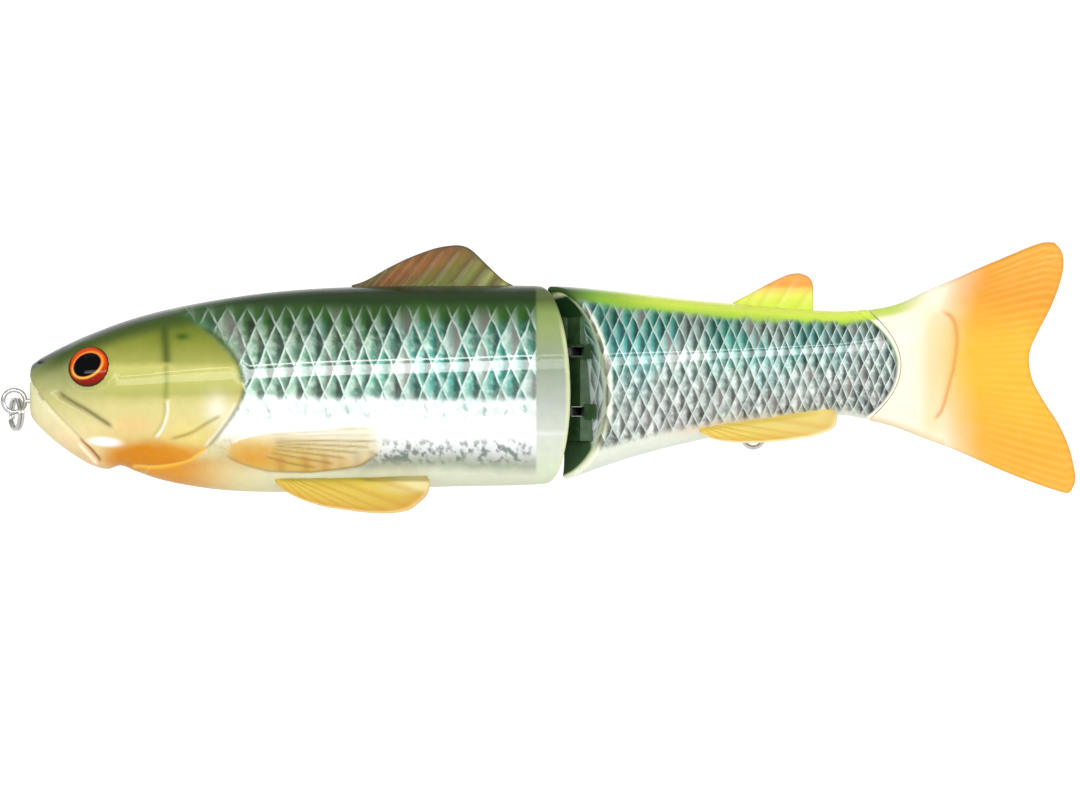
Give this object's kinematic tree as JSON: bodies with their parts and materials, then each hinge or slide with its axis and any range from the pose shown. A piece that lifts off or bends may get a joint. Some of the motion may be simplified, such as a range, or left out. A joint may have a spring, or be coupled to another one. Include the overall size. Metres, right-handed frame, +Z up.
{
  "type": "jointed swimbait",
  "caption": "Fish-shaped hard lure in two hollow sections on a vertical hinge pin, with plug-in fins, a soft tail, wire hook hangers and a split ring at the mouth.",
  "frame": {"origin": "centre of the line-tie eye in front of the mouth", "axes": "+X from the nose to the tail, +Z up, left side at -Y"},
  "size_m": [0.2564, 0.029, 0.0649],
  "materials": {
    "shell": "clear-coated moulded half shells, printed head and reflective scale foil",
    "hinge_block": "dark green moulded insert",
    "hinge_plate": "black moulded hinge plates",
    "steel": "bright stainless wire",
    "eye_print": "printed eye disc, red iris and black pupil",
    "eye_lens": "clear domed lens",
    "soft_fin": "soft moulded fins with rays",
    "ballast": "plain ballast slugs",
    "tang": "moulded tongue",
    "soft_tail": "soft moulded tail with rays"
  },
  "bodies": {
    "front_body": {"front_shell_left": "shell", "front_shell_right": "shell", "line_tie_eye": "steel", "hinge_plate_upper": "hinge_plate", "hinge_plate_lower": "hinge_plate", "eye_disc_left": "eye_print", "eye_disc_right": "eye_print", "eye_lens_left": "eye_lens", "eye_lens_right": "eye_lens", "dorsal_fin": "soft_fin", "pelvic_fin_left": "soft_fin", "pelvic_fin_right": "soft_fin", "front_hook_hanger": "steel", "belly_weight_front": "ballast", "belly_weight_middle": "ballast", "belly_weight_rear": "ballast"},
    "line_ring": {"line_tie_ring": "steel"},
    "rear_body": {"rear_shell_left": "shell", "rear_shell_right": "shell", "hinge_block": "hinge_block", "hinge_pin": "steel", "second_dorsal_fin": "soft_fin", "anal_fin_left": "soft_fin", "anal_fin_right": "soft_fin", "rear_hook_hanger": "steel", "rear_body_weight": "ballast", "tail_tang": "tang", "tail_socket": "soft_tail"},
    "tail": {"tail_blade": "soft_tail"}
  },
  "joints": [
    {"name": "body_hinge", "type": "hinge", "parent": "front_body", "child": "rear_body", "pos_m": [0.132, 0, 0], "axis": [0, 0, 1], "range_deg": [-26, 26]},
    {"name": "tail_flex", "type": "hinge", "parent": "rear_body", "child": "tail", "pos_m": [0.2245, 0, 0], "axis": [0, 0, 1], "range_deg": [-18, 18], "stiffness_Nm_per_rad": 0.02},
    {"name": "ring_swing", "type": "hinge", "parent": "front_body", "child": "line_ring", "pos_m": [0, 0, 0], "axis": [0, 1, 0], "range_deg": [-4, 130]}
  ]
}
